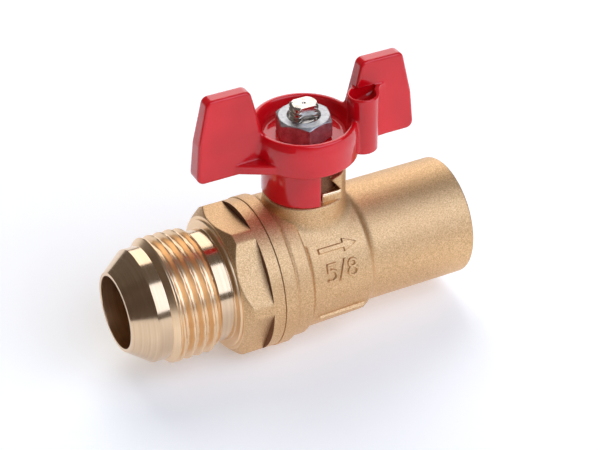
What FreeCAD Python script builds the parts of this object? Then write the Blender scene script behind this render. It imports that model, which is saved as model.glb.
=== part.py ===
import FreeCAD, Part
import os
import re
import Sketcher
from FreeCAD import Vector

# Brass ball valve for gas: a 5/8 in SAE 45 degree flare inlet, a solder socket for 5/8 in
# tube at the outlet and a butterfly handle. Every piece is drawn about the point where the
# stem's axis (Z) crosses the flow axis (X, inlet at -X), then placed so that the centre of
# the outlet socket's mouth is the origin. Millimetres.
SIZES = {
    # lengths along the flow axis, from the stem's axis
    "inletLength": 35.9,
    "outletLength": 28.6,
    "jointPlane": 10.2,
    "jointGap": 0.05,
    # flare inlet
    "flareBore": 6.42,
    "noseRim": 0.6,
    "noseRadius": 10.0,
    "noseAngle": 37.0,
    "threadRadius": 11.1125,
    "threadStart": 28.54,
    "threadEnd": 20.6,
    "threadChamfer": 0.45,
    "reliefRadius": 9.9,
    "collarRadius": 11.3,
    "collarStart": 18.4,
    "hexFront": 17.5,
    "hexBack": 12.46,
    "hexFlats": 24.0,
    "hexTurn": 5.0,
    "hexLand": 13.3,
    "hexChamfer": 1.4,
    "spigotRadius": 10.9,
    # body
    "flangeStand": 0.15,
    "flangeEnd": 7.75,
    "bandRadius": 12.85,
    "bandStart": 7.15,
    "bandEnd": 4.55,
    "barrelRadius": 12.1,
    "barrelStart": 3.9,
    "barrelEnd": 7.35,
    "barrelTaper": 0.25,
    "grooveRadius": 11.9,
    "tubeStart": 8.9,
    "tubeRadius": 10.75,
    "tubeChamfer": 0.4,
    "cavityRadius": 10.2,
    "passageRadius": 6.2,
    "socketRadius": 7.97,
    "socketDepth": 12.7,
    "barRadius": 12.45,
    "barStart": 2.8,
    "barEnd": 6.5,
    "barTurn": 25.5,
    "barSweep": 5.0,
    # neck, gland and handle stop
    "neckRadius": 7.2,
    "neckTop": 14.6,
    "glandRadius": 5.6,
    "glandTop": 20.6,
    "stopTop": 21.3,
    "stopLowTop": 16.9,
    "notchFoot": 3.49,
    "notchToothAcross": 2.14,
    "notchToothTop": 19.3,
    "notchHead": 2.9,
    "stemBore": 4.05,
    "packingRoof": 12.0,
    "packingRadius": 5.3,
    # ball and seats
    "ballRadius": 9.6,
    "slotWidth": 4.1,
    "slotFloor": 7.0,
    "seatRadius": 9.0,
    "seatBore": 6.35,
    "seatLand": 0.6,
    "seatBack": 8.6,
    "seatGap": 0.03,
    # stem
    "stemRadius": 4.0,
    "tongueFloor": 7.2,
    "tongueClearance": 0.05,
    "shoulderRadius": 5.0,
    "shoulderBottom": 9.9,
    "shoulderTop": 11.5,
    "driveRadius": 3.4,
    "driveFlats": 4.8,
    "driveTop": 24.9,
    "threadedRadius": 2.5,
    "threadedFlats": 3.4,
    "threadedTop": 31.3,
    "stemChamfer": 0.25,
    "ringGroove": 2.75,
    "ringGrooveWidth": 1.7,
    "lowerRing": 14.1,
    "upperRing": 17.4,
    "ringGap": 0.03,
    "washerBore": 4.1,
    "stemClearance": 0.4,
    # handle
    "handleBottom": 22.0,
    "dishRadius": 9.3,
    "dishShoulder": 26.5,
    "rimOuter": 8.85,
    "rimInner": 8.05,
    "rimTop": 28.15,
    "floorTop": 25.4,
    "floorRadius": 7.0,
    "floorFillet": 0.9,
    "driveClearance": 0.08,
    "skirtOuter": 7.35,
    "skirtInner": 6.1,
    "skirtBottom": 14.85,
    "skirtHalfAngle": 94.0,
    "wingFootThickness": 3.4,
    "wingTopThickness": 2.6,
    "wingEdge": 0.5,
    "wingCorner": 1.3,
    "wingTop": 36.85,
    "wingFoot": 21.7,
    "wingRoot": 8.2,
    "wingRootTop": 27.8,
    "wingInner": 10.4,
    "wingOuter": 18.2,
    "wingBendAcross": 20.0,
    "wingBend": 28.8,
    "wingTip": 20.65,
    "webTip": 13.6,
    "webAcross": 7.6,
    "webReach": 5.0,
    "webTop": 23.2,
    "lugAcross": 9.55,
    "lugReach": 3.1,
    "lugRadius": 2.7,
    "lugBore": 1.4,
    "lugMouth": 2.05,
    "lugMouthFloor": 29.0,
    "lugBottom": 21.6,
    "lugTop": 32.0,
    # nut
    "nutFlats": 8.8,
    "nutTurn": 43.8,
    "nutHeight": 3.6,
    "nutBore": 2.53,
    "nutMouth": 2.85,
}

os.makedirs("parts", exist_ok=True)
doc = FreeCAD.newDocument("BallValve")
sheet = doc.addObject("Spreadsheet::Sheet", "Sizes")
for row, (alias, value) in enumerate(SIZES.items(), 1):
    sheet.set("A%d" % row, alias)
    sheet.set("B%d" % row, str(value))
    sheet.setAlias("B%d" % row, alias)
doc.recompute()


def bound(text):
    """An expression on the sheet, from one written with the bare names of SIZES."""
    return re.sub(r"[A-Za-z]+", lambda m: "Sizes." + m[0] if m[0] in SIZES else m[0], text)


def valueOf(text):
    return float(sheet.evalExpression(bound(text)))


def newBody(name):
    body = doc.addObject("PartDesign::Body", name)
    body.Label = name
    body.setExpression("Placement.Base.x", bound("-outletLength"))
    return body


def newSketch(body, plane, name, offset="0"):
    """A sketch on one of the body's own planes, moved along the plane's normal."""
    sketch = body.newObject("Sketcher::SketchObject", name)
    origin = [o for o in body.Origin.OriginFeatures if o.Role == plane]
    sketch.AttachmentSupport = (origin[0], [""])
    sketch.MapMode = "FlatFace"
    sketch.setExpression("AttachmentOffset.Base.z", bound(offset))
    sketch.Visibility = False
    return sketch


def addPolygon(sketch, corners):
    """A closed outline of corners, each a pair of expressions; a third makes the edge after it an arc of
    that radius round the sketch's origin."""
    points = [Vector(valueOf(c[0]), valueOf(c[1]), 0) for c in corners]
    first = sketch.GeometryCount
    count = len(points)
    heads = []
    for i, corner in enumerate(corners):
        start, end = points[i], points[(i + 1) % count]
        if len(corner) == 2:
            sketch.addGeometry(Part.LineSegment(start, end), False)
            heads.append(1)
            continue
        circle = Part.Circle(Vector(), Vector(0, 0, 1), valueOf(corner[2]))
        heads.append(1 if start.cross(end).z > 0 else 2)
        begin, finish = (start, end) if heads[-1] == 1 else (end, start)
        n = sketch.addGeometry(Part.ArcOfCircle(circle, circle.parameter(begin), circle.parameter(finish)), False)
        n = sketch.addConstraint(Sketcher.Constraint("Radius", n, valueOf(corner[2])))
        sketch.setExpression("Constraints[%d]" % n, bound(corner[2]))
    for i in range(count):
        j = (i + 1) % count
        sketch.addConstraint(Sketcher.Constraint("Coincident", first + i, 3 - heads[i], first + j, heads[j]))
    for i, corner in enumerate(corners):
        for kind, text, value in (("DistanceX", corner[0], points[i].x), ("DistanceY", corner[1], points[i].y)):
            n = sketch.addConstraint(Sketcher.Constraint(kind, -1, 1, first + i, heads[i], value))
            sketch.setExpression("Constraints[%d]" % n, bound(text))


def addCircle(sketch, radius, u="0", v="0"):
    centre = Vector(valueOf(u), valueOf(v), 0)
    circle = sketch.addGeometry(Part.Circle(centre, Vector(0, 0, 1), valueOf(radius)), False)
    n = sketch.addConstraint(Sketcher.Constraint("Radius", circle, valueOf(radius)))
    sketch.setExpression("Constraints[%d]" % n, bound(radius))
    for kind, text, value in (("DistanceX", u, centre.x), ("DistanceY", v, centre.y)):
        n = sketch.addConstraint(Sketcher.Constraint(kind, -1, 1, circle, 3, value))
        sketch.setExpression("Constraints[%d]" % n, bound(text))


def addHexagon(sketch, flats, turn):
    reach = "(%s) / 2 / cos(30)" % flats
    addPolygon(sketch, [("%s * cos(%s + %d)" % (reach, turn, 30 + 60 * k),
                         "%s * sin(%s + %d)" % (reach, turn, 30 + 60 * k)) for k in range(6)])


def turned(body, name, corners, axis="H_Axis", cut=False):
    """The outline turned about the flow axis (H_Axis) or the stem's axis (V_Axis)."""
    sketch = newSketch(body, "XZ_Plane", name + "Profile")
    addPolygon(sketch, corners)
    feature = body.newObject("PartDesign::Groove" if cut else "PartDesign::Revolution", name)
    feature.Profile = sketch
    feature.ReferenceAxis = (sketch, [axis])
    feature.Angle = 360
    doc.recompute()
    return feature


def pad(body, sketch, name, length, midplane=False):
    feature = body.newObject("PartDesign::Pad", name)
    feature.Profile = sketch
    feature.setExpression("Length", bound(length))
    if midplane:
        feature.SideType = "Symmetric"
    doc.recompute()
    return feature


def pocket(body, sketch, name, length=None, upward=False, midplane=False):
    """A cut against the sketch's normal, or along it if upward; through all with no length."""
    feature = body.newObject("PartDesign::Pocket", name)
    feature.Profile = sketch
    feature.Reversed = upward
    if midplane:
        feature.SideType = "Symmetric"
    if length is None:
        feature.Type = "ThroughAll"
    else:
        feature.setExpression("Length", bound(length))
    doc.recompute()
    return feature


def roundEdges(body, feature, name, radius, chosen):
    picked = ["Edge%d" % n for n, edge in enumerate(feature.Shape.Edges, 1) if chosen(edge)]
    fillet = body.newObject("PartDesign::Fillet", name)
    fillet.Base = (feature, picked)
    fillet.setExpression("Radius", bound(radius))
    doc.recompute()
    return fillet


def isCircle(edge, radius, along):
    curve = edge.Curve
    return (isinstance(curve, Part.Circle) and abs(curve.Radius - radius) < 1e-6
            and abs(curve.Center.x - along) < 1e-6)


def cutFlats(body, name, flats, across, bottom, top, alongX):
    """Two parallel flats on a round stem, between two heights."""
    sketch = newSketch(body, "XY_Plane", name + "Outline", bottom)
    for side in (1, -1):
        near = "%d * (%s) / 2" % (side, flats)
        far = "%d * (%s)" % (side, across)
        edge = [("-(%s)" % across, near), (across, near), (across, far), ("-(%s)" % across, far)]
        addPolygon(sketch, edge if alongX else [(v, u) for u, v in edge])
    return pocket(body, sketch, name, "(%s) - (%s)" % (top, bottom), upward=True)


def makeBody():
    body = newBody("body")
    turned(body, "Outside", [
        ("-jointPlane", "0"),
        ("-jointPlane", "hexLand + flangeStand"),
        ("-flangeEnd", "hexLand + flangeStand"),
        ("-(flangeEnd + bandStart) / 2", "grooveRadius + 0.4"),
        ("-bandStart", "bandRadius"),
        ("-bandEnd", "bandRadius"),
        ("-(bandEnd + barrelStart) / 2", "grooveRadius"),
        ("-barrelStart", "barrelRadius"),
        ("barrelEnd", "barrelRadius - barrelTaper"),
        ("barrelEnd + 0.75", "tubeRadius + 0.3"),
        ("tubeStart", "tubeRadius"),
        ("outletLength - tubeChamfer", "tubeRadius"),
        ("outletLength", "tubeRadius - tubeChamfer"),
        ("outletLength", "0"),
    ])
    bar = newSketch(body, "YZ_Plane", "BarOutline", "-barStart")
    addPolygon(bar, [("-%s * cos(%s)" % (r, t), "-%s * sin(%s)" % (r, t)) for r, t in [
        ("(cavityRadius + 0.8)", "barTurn"), ("barRadius", "barTurn"),
        ("barRadius", "(barTurn + barSweep)"), ("(cavityRadius + 0.8)", "(barTurn + barSweep)")]])
    pad(body, bar, "Bar", "barStart + barEnd")
    neck = newSketch(body, "XY_Plane", "NeckOutline")
    addCircle(neck, "neckRadius")
    pad(body, neck, "Neck", "neckTop")

    stop = newSketch(body, "XY_Plane", "StopOutline", "neckTop")
    addCircle(stop, "neckRadius")
    pad(body, stop, "Stop", "stopTop - neckTop")
    free = newSketch(body, "XY_Plane", "StopFreeOutline", "neckTop")
    far = "neckRadius + 1"
    addPolygon(free, [("-(%s)" % far, "-(%s)" % far), ("0", "-(%s)" % far), ("0", "0"),
                      (far, "0"), (far, far), ("-(%s)" % far, far)])
    pocket(body, free, "StopFree", upward=True)
    notch = newSketch(body, "XZ_Plane", "NotchOutline")
    addPolygon(notch, [("-1", "stopLowTop"), ("notchFoot", "stopLowTop"),
                       ("notchToothAcross", "notchToothTop"), ("notchHead", "stopTop + 1"),
                       ("-1", "stopTop + 1")])
    pocket(body, notch, "Notch", upward=True)
    gland = newSketch(body, "XY_Plane", "GlandOutline", "neckTop")
    addCircle(gland, "glandRadius")
    pad(body, gland, "Gland", "glandTop - neckTop")

    turned(body, "FlowBore", [
        ("-jointPlane", "0"),
        ("-jointPlane", "spigotRadius"),
        ("-(shoulderRadius + stemClearance) + 0.2", "spigotRadius"),
        ("-(shoulderRadius + stemClearance) + 0.2", "cavityRadius"),
        (seatFront() + " - 0.3", "cavityRadius"),
        (seatFront() + " - 0.3", "seatRadius"),
        ("seatBack", "seatRadius"),
        ("seatBack", "passageRadius"),
        ("outletLength - socketDepth", "passageRadius"),
        ("outletLength - socketDepth", "socketRadius"),
        ("outletLength", "socketRadius"),
        ("outletLength", "0"),
    ], cut=True)
    turned(body, "StemBore", [
        ("0", "0"),
        ("packingRadius", "0"),
        ("packingRadius", "packingRoof"),
        ("stemBore", "packingRoof"),
        ("stemBore", "glandTop + 1"),
        ("0", "glandTop + 1"),
    ], axis="V_Axis", cut=True)
    return body


def makeFlareConnector():
    body = newBody("flare_connector")
    nose = "flareBore + noseRim"
    shoulder = "-inletLength + (noseRadius - flareBore - noseRim) / tan(noseAngle)"
    turned(body, "Outside", [
        ("-inletLength", "0"),
        ("-inletLength", nose),
        (shoulder, "noseRadius"),
        ("-threadStart - threadRadius + noseRadius", "noseRadius"),
        ("-threadStart", "threadRadius"),
        ("-threadEnd - threadChamfer", "threadRadius"),
        ("-threadEnd", "reliefRadius"),
        ("-collarStart", "reliefRadius"),
        ("-collarStart", "collarRadius"),
        ("-hexFront", "collarRadius"),
        ("-hexFront", "hexLand - hexChamfer"),
        ("-hexFront + hexChamfer", "hexLand"),
        ("-jointPlane - jointGap", "hexLand"),
        ("-jointPlane - jointGap", "spigotRadius - seatGap"),
        ("-(shoulderRadius + stemClearance)", "spigotRadius - seatGap"),
        ("-(shoulderRadius + stemClearance)", "0"),
    ])
    flats = newSketch(body, "YZ_Plane", "HexOutline", "-hexBack")
    addCircle(flats, "hexLand + 3")
    addHexagon(flats, "hexFlats", "30 - hexTurn")
    pocket(body, flats, "Hex", "hexFront - hexBack + 0.01")
    turned(body, "FlowBore", [
        ("-inletLength", "0"),
        ("-inletLength", "flareBore"),
        ("-seatBack", "flareBore"),
        ("-seatBack", "seatRadius"),
        ("-(shoulderRadius + stemClearance)", "seatRadius"),
        ("-(shoulderRadius + stemClearance)", "0"),
    ], cut=True)
    return body


def makeBall():
    body = newBody("ball")
    half = "sqrt(ballRadius^2 - passageRadius^2)"
    turned(body, "Sphere", [("-" + half, "passageRadius", "ballRadius"), (half, "passageRadius")])
    slot = newSketch(body, "XZ_Plane", "SlotOutline")
    half = "slotWidth / 2"
    addPolygon(slot, [("-" + half, "slotFloor"), (half, "slotFloor"),
                      (half, "ballRadius + 1"), ("-" + half, "ballRadius + 1")])
    pocket(body, slot, "Slot", "ballRadius * 2 + 2", midplane=True)
    return body


def seatCone():
    """Sine and cosine of the angle at which the ball meets its seats, halfway up the seat's width."""
    mean = "((seatBore + seatRadius) / 2 / ballRadius)"
    return mean, "sqrt(1 - %s^2)" % mean


def seatFront():
    mean, along = seatCone()
    return "((ballRadius + seatGap - (seatRadius - seatGap - seatLand) * %s) / %s)" % (mean, along)


def makeSeatRing(name, side):
    """PTFE ring whose cone lies on the ball; side is 1 at the outlet, -1 at the inlet."""
    body = newBody(name)
    mean, along = seatCone()
    throat = "(ballRadius + seatGap - seatBore * %s) / %s" % (mean, along)
    turned(body, "Ring", [("%d * (%s)" % (side, u), v) for u, v in [
        ("seatBack - seatGap", "seatBore"),
        (throat, "seatBore"),
        (seatFront(), "seatRadius - seatGap - seatLand"),
        (seatFront(), "seatRadius - seatGap"),
        ("seatBack - seatGap", "seatRadius - seatGap"),
    ]])
    return body


def makeStem():
    body = newBody("stem")
    # the tongue passes between the seats, the shoulder above them
    tongueRadius = seatFront() + " - stemClearance"
    shaft = [("0", "tongueFloor"), (tongueRadius, "tongueFloor"), (tongueRadius, "shoulderBottom"),
             ("shoulderRadius", "shoulderBottom"), ("shoulderRadius", "shoulderTop"),
             ("stemRadius", "shoulderTop")]
    for ring in ("lowerRing", "upperRing"):
        low, high = ring + " - ringGrooveWidth / 2", ring + " + ringGrooveWidth / 2"
        shaft += [("stemRadius", low), ("ringGroove", low),
                  ("ringGroove", high), ("stemRadius", high)]
    shaft += [("stemRadius", "handleBottom"), ("driveRadius", "handleBottom"),
              ("driveRadius", "driveTop"), ("threadedRadius", "driveTop"),
              ("threadedRadius", "threadedTop - stemChamfer"),
              ("threadedRadius - stemChamfer", "threadedTop"), ("0", "threadedTop")]
    turned(body, "Shaft", shaft, axis="V_Axis")
    tongue = newSketch(body, "XY_Plane", "TongueOutline", "tongueFloor")
    half = "(slotWidth / 2 - tongueClearance)"
    far = "(shoulderRadius + 1)"
    for side in (1, -1):
        near, out = "%d * %s" % (side, half), "%d * %s" % (side, far)
        addPolygon(tongue, [(near, "-" + far), (out, "-" + far), (out, far), (near, far)])
    pocket(body, tongue, "Tongue", "shoulderBottom - tongueFloor", upward=True)
    cutFlats(body, "DriveFlats", "driveFlats", "stemRadius + 1", "handleBottom", "driveTop", True)
    cutFlats(body, "ThreadFlats", "threadedFlats", "stemRadius + 1", "driveTop",
             "threadedTop + 1", True)
    return body


def makeStemRing(name, height):
    """O-ring pressed flat all round in its groove, clear of the groove's floor and the gland's wall."""
    body = newBody(name)
    body.setExpression("Placement.Base.z", bound(height))
    centre = "(stemBore + ringGroove) / 2"
    reach = "((stemBore - ringGroove) / 2 - ringGap) / cos(22.5)"
    turned(body, "Ring", [("%s + %s * cos(%s)" % (centre, reach, 22.5 + 45 * k),
                           "%s * sin(%s)" % (reach, 22.5 + 45 * k)) for k in range(8)], axis="V_Axis")
    return body


def makeThrustWasher():
    body = newBody("stem_thrust_washer")
    turned(body, "Washer", [
        ("washerBore", "shoulderTop"),
        ("shoulderRadius", "shoulderTop"),
        ("shoulderRadius", "packingRoof - seatGap"),
        ("washerBore", "packingRoof - seatGap"),
    ], axis="V_Axis")
    return body


def onWingFace(vertex):
    rise = (vertex.Z - valueOf("wingFoot")) / valueOf("wingTop - wingFoot")
    half = valueOf("wingFootThickness") * (1 - rise) + valueOf("wingTopThickness") * rise
    return abs(abs(vertex.Y) - half / 2) < 1e-4


def makeHandle():
    body = newBody("handle")
    # one bar with a draft, thinner at the top, cut to the outline of the two wings
    section = newSketch(body, "YZ_Plane", "WingSection", "-wingTip - 1")
    foot, head = "wingFootThickness / 2", "wingTopThickness / 2"
    addPolygon(section, [("-" + foot, "wingFoot"), (foot, "wingFoot"),
                         (head, "wingTop"), ("-" + head, "wingTop")])
    pad(body, section, "WingBar", "2 * wingTip + 2")
    outline = newSketch(body, "XZ_Plane", "WingOutline")
    addPolygon(outline, [("-wingTip - 2", "wingFoot - 1"), ("wingTip + 2", "wingFoot - 1"),
                         ("wingTip + 2", "wingTop + 1"), ("-wingTip - 2", "wingTop + 1")])
    for side in (1, -1):
        addPolygon(outline, [("%d * (%s)" % (side, u), v) for u, v in [
            ("wingRoot", "wingFoot"),
            ("wingRoot", "wingRootTop"),
            ("wingInner", "wingTop"),
            ("wingOuter", "wingTop"),
            ("wingBendAcross", "wingBend"),
            ("wingTip", "wingFoot"),
        ]])
    wings = pocket(body, outline, "Wings", "wingFootThickness + 2", midplane=True)
    root = valueOf("wingRoot") + 0.01
    corners = roundEdges(body, wings, "WingCorners", "wingCorner", lambda edge: (
        abs(edge.Vertexes[0].X - edge.Vertexes[-1].X) < 1e-6
        and abs(edge.Vertexes[0].Z - edge.Vertexes[-1].Z) < 1e-6
        and abs(edge.Vertexes[0].X) > root
        and abs(edge.Vertexes[0].Z - valueOf("wingBend")) > 0.1))
    roundEdges(body, corners, "WingEdges", "wingEdge", lambda edge: (
        all(onWingFace(v) for v in edge.Vertexes)
        and edge.Vertexes[0].Y * edge.Vertexes[-1].Y > 0
        and max(abs(v.X) for v in edge.Vertexes) > root))

    webs = newSketch(body, "XY_Plane", "WebOutline", "handleBottom")
    for across, reach in ((-1, -1), (-1, 1), (1, 1)):
        addPolygon(webs, [("%d * (%s)" % (across, u), "%d * (%s)" % (reach, v)) for u, v in [
            ("webTip", "wingFootThickness / 2 - 0.4"),
            ("webTip", "wingFootThickness / 2"),
            ("webAcross", "webReach"),
            ("webAcross - 2", "webReach"),
            ("webAcross - 2", "wingFootThickness / 2 - 0.4"),
        ]])
    pad(body, webs, "Webs", "webTop - handleBottom")
    lug = newSketch(body, "XY_Plane", "LugOutline", "lugBottom")
    addCircle(lug, "lugRadius", "lugAcross", "-lugReach")
    pad(body, lug, "Lug", "lugTop - lugBottom")
    turned(body, "Dish", [
        ("0", "handleBottom"),
        ("dishRadius", "handleBottom"),
        ("dishRadius", "dishShoulder"),
        ("(dishRadius + rimOuter) / 2 + 0.1", "(dishShoulder + rimTop) / 2 + 0.3"),
        ("rimOuter - 0.15", "rimTop - 0.1"),
        ("rimOuter - 0.3", "rimTop"),
        ("rimInner + 0.2", "rimTop"),
        ("rimInner", "rimTop - 0.2"),
        ("(rimInner + floorRadius) / 2", "floorTop + floorFillet"),
        ("floorRadius", "floorTop + 0.1"),
        ("floorRadius - 0.4", "floorTop"),
        ("0", "floorTop"),
    ], axis="V_Axis")
    eye = newSketch(body, "XY_Plane", "LugEye", "lugBottom")
    addCircle(eye, "lugBore", "lugAcross", "-lugReach")
    pocket(body, eye, "LugBore", "lugTop - lugBottom", upward=True)
    mouth = newSketch(body, "XY_Plane", "LugMouthOutline", "lugMouthFloor")
    addCircle(mouth, "lugMouth", "lugAcross", "-lugReach")
    pocket(body, mouth, "LugMouth", "lugTop - lugMouthFloor", upward=True)

    skirt = newSketch(body, "XY_Plane", "SkirtOutline", "skirtBottom")
    addCircle(skirt, "skirtOuter")
    pad(body, skirt, "Skirt", "handleBottom - skirtBottom")
    hollow = newSketch(body, "XY_Plane", "SkirtHollow", "skirtBottom")
    addCircle(hollow, "skirtInner")
    pocket(body, hollow, "SkirtClear", "handleBottom - skirtBottom", upward=True)
    gap = newSketch(body, "XY_Plane", "SkirtGap", "skirtBottom")
    far = "(skirtOuter + 1)"
    addPolygon(gap, [("0", "0"), (far + " * cos(skirtHalfAngle)", "-" + far + " * sin(skirtHalfAngle)"),
                     (far, "-" + far), (far, far),
                     (far + " * cos(skirtHalfAngle)", far + " * sin(skirtHalfAngle)")])
    pocket(body, gap, "SkirtOpen", "handleBottom - skirtBottom", upward=True)
    drive = newSketch(body, "XY_Plane", "DriveOutline", "handleBottom")
    addCircle(drive, "driveRadius + driveClearance")
    pocket(body, drive, "DriveBore", "floorTop - handleBottom + 1", upward=True)
    flats = newSketch(body, "XY_Plane", "DriveFlatsOutline", "handleBottom")
    for side in (1, -1):
        near = "%d * (driveFlats / 2 + driveClearance)" % side
        far = "%d * (driveRadius + 0.5)" % side
        addPolygon(flats, [("-driveRadius", near), ("driveRadius", near),
                           ("driveRadius", far), ("-driveRadius", far)])
    pad(body, flats, "DriveFlats", "floorTop - handleBottom")
    return body


def makeHandleNut():
    body = newBody("handle_nut")
    corner = "(nutFlats / 2 / cos(30))"
    bevel = "(%s - nutFlats / 2 + 0.1)" % corner
    top = "floorTop + nutHeight"
    turned(body, "Blank", [
        ("nutBore", "floorTop + nutMouth - nutBore"),
        ("nutMouth", "floorTop"),
        ("%s - %s" % (corner, bevel), "floorTop"),
        (corner, "floorTop + %s * tan(30)" % bevel),
        (corner, "%s - %s * tan(30)" % (top, bevel)),
        ("%s - %s" % (corner, bevel), top),
        ("nutMouth", top),
        ("nutBore", top + " - nutMouth + nutBore"),
    ], axis="V_Axis")
    flats = newSketch(body, "XY_Plane", "HexOutline", "floorTop")
    addCircle(flats, corner + " + 2")
    addHexagon(flats, "nutFlats", "nutTurn")
    pocket(body, flats, "Hex", "nutHeight", upward=True)
    return body


def checked(body):
    for feature in [body] + body.Group:
        if "Invalid" in feature.State or "Error" in feature.State:
            raise RuntimeError("%s: %s did not compute" % (body.Label, feature.Label))
    shape = body.Shape
    if shape.isNull() or not shape.isValid() or len(shape.Solids) != 1:
        raise RuntimeError("%s: not one valid solid" % body.Label)
    return shape


pieces = [
    makeBody(),
    makeFlareConnector(),
    makeBall(),
    makeSeatRing("seat_ring_inlet", -1),
    makeSeatRing("seat_ring_outlet", 1),
    makeStem(),
    makeStemRing("stem_o_ring_lower", "lowerRing"),
    makeStemRing("stem_o_ring_upper", "upperRing"),
    makeThrustWasher(),
    makeHandle(),
    makeHandleNut(),
]
doc.recompute()
for piece in pieces:
    shape = checked(piece)
    shape.exportStep("parts/%s.step" % piece.Label)
    box = shape.optimalBoundingBox(False)
    print("%-20s %9.1f mm3  %s" % (piece.Label, shape.Volume, " ".join(
        "%.2f..%.2f" % pair for pair in (
            (box.XMin, box.XMax), (box.YMin, box.YMax), (box.ZMin, box.ZMax)))))
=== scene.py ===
from math import cos, pi, radians, sin, sqrt, tan

import bmesh
import bpy
import numpy as np
from mathutils import Matrix, Vector


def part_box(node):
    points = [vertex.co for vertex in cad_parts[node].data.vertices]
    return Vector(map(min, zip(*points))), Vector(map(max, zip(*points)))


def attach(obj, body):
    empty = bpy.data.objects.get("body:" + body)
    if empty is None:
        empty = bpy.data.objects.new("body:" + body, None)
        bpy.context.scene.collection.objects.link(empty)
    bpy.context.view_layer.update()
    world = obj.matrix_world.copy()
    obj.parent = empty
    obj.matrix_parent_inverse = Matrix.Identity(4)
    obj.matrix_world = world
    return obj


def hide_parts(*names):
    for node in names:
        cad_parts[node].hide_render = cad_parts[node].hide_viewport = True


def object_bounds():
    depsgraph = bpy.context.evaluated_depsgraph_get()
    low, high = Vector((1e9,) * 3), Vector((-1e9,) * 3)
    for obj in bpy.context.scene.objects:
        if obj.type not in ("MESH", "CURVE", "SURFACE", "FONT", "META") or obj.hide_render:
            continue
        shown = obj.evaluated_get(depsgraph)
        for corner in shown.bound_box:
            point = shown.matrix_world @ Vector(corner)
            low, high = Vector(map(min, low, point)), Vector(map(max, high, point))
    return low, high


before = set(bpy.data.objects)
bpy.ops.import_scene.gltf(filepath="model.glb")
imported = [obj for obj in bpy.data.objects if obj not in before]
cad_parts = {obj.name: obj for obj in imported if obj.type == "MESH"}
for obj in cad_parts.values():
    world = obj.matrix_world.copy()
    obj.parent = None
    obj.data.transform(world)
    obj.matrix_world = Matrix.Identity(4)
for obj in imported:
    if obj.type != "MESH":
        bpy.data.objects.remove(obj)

mm = 0.001
onAxis = 1e-5       # mm, a ring so small that it stands for a point on the axis
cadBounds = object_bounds()
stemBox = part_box("stem")
stemX = (stemBox[0][0] + stemBox[1][0]) / 2      # the pieces are drawn in mm about the stem's axis


class Wire:
    # a node's output that takes part in sums
    def __init__(self, tree, socket):
        self.tree, self.socket = tree, socket

    def __add__(self, other):
        return maths("ADD", self, other)

    def __radd__(self, other):
        return maths("ADD", other, self)

    def __sub__(self, other):
        return maths("SUBTRACT", self, other)

    def __rsub__(self, other):
        return maths("SUBTRACT", other, self)

    def __mul__(self, other):
        return maths("MULTIPLY", self, other)

    def __rmul__(self, other):
        return maths("MULTIPLY", other, self)

    def __truediv__(self, other):
        return maths("DIVIDE", self, other)


def addNode(tree, kind, settings={}, inputs={}, output=0):
    # settings come first, as they decide which sockets a node has
    node = tree.nodes.new(kind)
    for name, value in settings.items():
        setattr(node, name, value)
    for key, value in inputs.items():
        if isinstance(value, Wire):
            tree.links.new(value.socket, node.inputs[key])
        else:
            node.inputs[key].default_value = value
    return Wire(tree, node.outputs[output]) if len(node.outputs) else None


def maths(operation, *values):
    # one sum of wires and numbers, on the tree of the first wire
    tree = next(value.tree for value in values if isinstance(value, Wire))
    return addNode(tree, "ShaderNodeMath", {"operation": operation}, dict(enumerate(values)))


class Finish:
    # a material whose nodes are added one by one, laid out by object coordinates
    def __init__(self, name):
        self.material = bpy.data.materials.new(name)
        self.material.use_nodes = True
        self.tree = self.material.node_tree
        self.tree.nodes.clear()
        self.place = self.node("ShaderNodeTexCoord", output=3)

    def node(self, kind, settings={}, inputs={}, output=0):
        return addNode(self.tree, kind, settings, inputs, output)

    def noise(self, scale, detail, roughness, stretch=None):
        place = self.place
        if stretch:
            place = self.node("ShaderNodeMapping", {}, {"Vector": place, "Scale": stretch})
        return self.node("ShaderNodeTexNoise", {}, {
            "Vector": place, "Scale": scale, "Detail": detail, "Roughness": roughness})

    def span(self, value, fromLow, fromHigh, toLow, toHigh):
        return self.node("ShaderNodeMapRange", {}, {
            "Value": value, "From Min": fromLow, "From Max": fromHigh, "To Min": toLow, "To Max": toHigh})

    def blend(self, factor, first, second):
        # on a colour mix, sockets 6 and 7 are its colours and output 2 is its result
        return self.node("ShaderNodeMix", {"data_type": "RGBA"}, {0: factor, 6: first, 7: second}, 2)

    def bump(self, height, look):
        return self.node("ShaderNodeBump", {}, {
            "Height": height, "Distance": look["depth"], "Strength": look["strength"]})

    def finish(self, **inputs):
        names = {key.replace("_", " "): value for key, value in inputs.items()}
        shader = self.node("ShaderNodeBsdfPrincipled", {}, names)
        self.node("ShaderNodeOutputMaterial", {}, {"Surface": shader})
        return self.material


def rgb(red, green, blue):
    # a picked colour, 0 to 255, as the shader's linear one
    return tuple((c / 255 / 12.92 if c / 255 < 0.04045 else ((c / 255 + 0.055) / 1.055) ** 2.4)
                 for c in (red, green, blue)) + (1.0,)


# in the finishes, a noise is scale, detail, roughness and stretch, and a span is from low, high to low, high
blastedLook = {
    "grain": (4800, 4, 0.65), "cloud": (130, 2, 0.5), "pits": (5200, 2, 0.5),
    "grainSpan": (0.36, 0.64, 0.0, 1.0), "cloudSpan": (0.35, 0.7, 0.0, 0.3), "pitRough": 0.16,
    "grainShare": 0.7, "depth": 0.00008, "strength": 0.9,
}


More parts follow.
